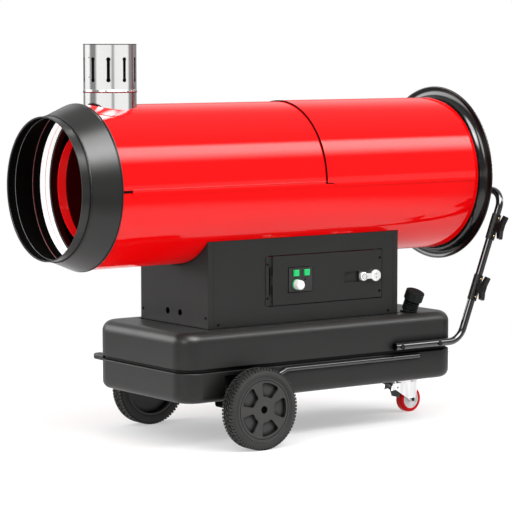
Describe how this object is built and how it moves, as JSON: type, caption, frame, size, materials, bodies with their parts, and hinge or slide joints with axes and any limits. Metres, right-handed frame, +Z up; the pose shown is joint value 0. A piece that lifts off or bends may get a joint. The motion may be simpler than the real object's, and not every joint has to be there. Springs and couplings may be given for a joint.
{
  "type": "indirect-fired oil heater",
  "caption": "Wheeled indirect-fired oil heater: drum casing with flue, ducted outlet, control box, fuel tank, push handle and braked caster.",
  "frame": {"origin": "centre of the whole heater's box, at the floor", "axes": "+Z up; the drum lies along X, with the hot air outlet towards -X and the air inlet and push handle towards +X; the control door faces -Y"},
  "size_m": [1.5036, 0.618, 1.15],
  "materials": {
    "casing_red": "gloss red powder coat",
    "sheet_black": "satin black powder coat",
    "tank_black": "fine grained moulded black",
    "frame_black": "satin black paint",
    "liner_bright": "bright stainless sheet",
    "liner_steel": "dull aluminised sheet",
    "jacket_red": "heat proof red paint",
    "chamber_steel": "dull stainless",
    "flue_steel": "brushed stainless",
    "burner_casting": "raw casting",
    "transformer_black": "fine grained",
    "motor_grey": "satin grey",
    "fan_alloy": "as pressed",
    "button_green": "clear green",
    "knob_white": "smooth",
    "latch_chrome": "polished plating",
    "screw_zinc": "dark zinc",
    "cap_black": "moulded",
    "filter_clear": "amber bowl",
    "line_copper": "drawn pipe",
    "wheel_tyre": "ribbed rubber",
    "wheel_rim": "moulded",
    "hook_black": "moulded",
    "screw_brass": "yellow passivated",
    "caster_zinc": "bright zinc plate",
    "caster_red": "smooth polyurethane",
    "caster_grey": "moulded",
    "pedal_black": "moulded"
  },
  "bodies": {
    "root": {"front_cover": "casing_red", "rear_cover": "casing_red", "lower_casing": "casing_red", "rear_hoop": "casing_red", "front_hoop": "casing_red", "outlet_adapter": "sheet_black", "inlet_ring": "sheet_black", "box_side_left": "sheet_black", "box_side_right": "sheet_black", "box_end_front": "sheet_black", "box_end_rear": "sheet_black", "box_floor": "sheet_black", "door_hinge": "sheet_black", "inlet_guard": "sheet_black", "tank_upper": "tank_black", "tank_lower": "tank_black", "tank_lug": "tank_black", "handle_tube": "frame_black", "axle": "frame_black", "axle_brackets": "frame_black", "caster_bracket": "frame_black", "handle_bolts": "frame_black", "axle_nuts": "frame_black", "liner_ring": "liner_bright", "inner_liner": "liner_steel", "exchanger_jacket": "jacket_red", "combustion_chamber": "chamber_steel", "flue_spigot": "flue_steel", "flue_sleeve": "flue_steel", "burner_body": "burner_casting", "fuel_pump": "burner_casting", "ignition_transformer": "transformer_black", "control_board": "transformer_black", "fan_motor": "motor_grey", "motor_bracket": "motor_grey", "box_screws": "screw_zinc", "filler_neck": "cap_black", "drain_plug": "cap_black", "fuel_filter": "filter_clear", "fuel_lines": "line_copper", "cord_hooks": "hook_black", "hook_screws": "screw_brass", "caster_plate": "caster_zinc"},
    "door": {"control_door": "sheet_black", "control_plate": "transformer_black"},
    "latch": {"door_latch": "latch_chrome"},
    "start": {"start_button": "button_green"},
    "stop": {"stop_button": "button_green"},
    "knob": {"thermostat_knob": "knob_white"},
    "wheel_left": {"wheel_tyre_left": "wheel_tyre", "wheel_rim_left": "wheel_rim"},
    "wheel_right": {"wheel_tyre_right": "wheel_tyre", "wheel_rim_right": "wheel_rim"},
    "caster": {"caster_fork": "caster_zinc", "caster_axle": "caster_zinc"},
    "caster_wheel": {"caster_tyre": "caster_red", "caster_rim": "caster_grey"},
    "pedal": {"brake_pedal": "pedal_black"},
    "impeller": {"fan": "fan_alloy"},
    "cap": {"fuel_cap": "cap_black"}
  },
  "joints": [
    {"name": "door_hinge", "type": "hinge", "parent": "root", "child": "door", "pos_m": [-0.0938, -0.1725, 0.4645], "axis": [0, 0, -1], "range_deg": [0, 110]},
    {"name": "latch_turn", "type": "hinge", "parent": "door", "child": "latch", "pos_m": [0.2932, -0.1725, 0.4595], "axis": [0, -1, 0], "range_deg": [0, 90]},
    {"name": "start_press", "type": "slide", "parent": "door", "child": "start", "axis": [0, 1, 0], "range_m": [0, 0.0025], "stiffness_N_per_m": 400, "springref_m": -0.001},
    {"name": "stop_press", "type": "slide", "parent": "door", "child": "stop", "axis": [0, 1, 0], "range_m": [0, 0.0025], "stiffness_N_per_m": 400, "springref_m": -0.001},
    {"name": "knob_turn", "type": "hinge", "parent": "door", "child": "knob", "pos_m": [0.0002, -0.1725, 0.4495], "axis": [0, -1, 0], "range_deg": [0, 270]},
    {"name": "wheel_left_spin", "type": "hinge", "parent": "root", "child": "wheel_left", "pos_m": [-0.2158, -0.285, 0.117], "axis": [0, 1, 0], "continuous": true},
    {"name": "wheel_right_spin", "type": "hinge", "parent": "root", "child": "wheel_right", "pos_m": [-0.2158, 0.285, 0.117], "axis": [0, 1, 0], "continuous": true},
    {"name": "caster_swivel", "type": "hinge", "parent": "root", "child": "caster", "pos_m": [0.5482, 0, 0.1], "axis": [0, 0, 1], "continuous": true},
    {"name": "caster_spin", "type": "hinge", "parent": "caster", "child": "caster_wheel", "pos_m": [0.5712, 0, 0.04], "axis": [0, 1, 0], "continuous": true},
    {"name": "brake_press", "type": "hinge", "parent": "caster", "child": "pedal", "pos_m": [0.5122, 0, 0.082], "axis": [0, -1, 0], "range_deg": [0, 22]},
    {"name": "fan_spin", "type": "hinge", "parent": "root", "child": "impeller", "pos_m": [0.5572, 0, 0.747], "axis": [1, 0, 0], "continuous": true},
    {"name": "cap_turn", "type": "hinge", "parent": "root", "child": "cap", "pos_m": [0.43299, -0.19052, 0.3908], "axis": [0.0872, -0.3732, 0.9236], "range_deg": [0, 360]}
  ]
}
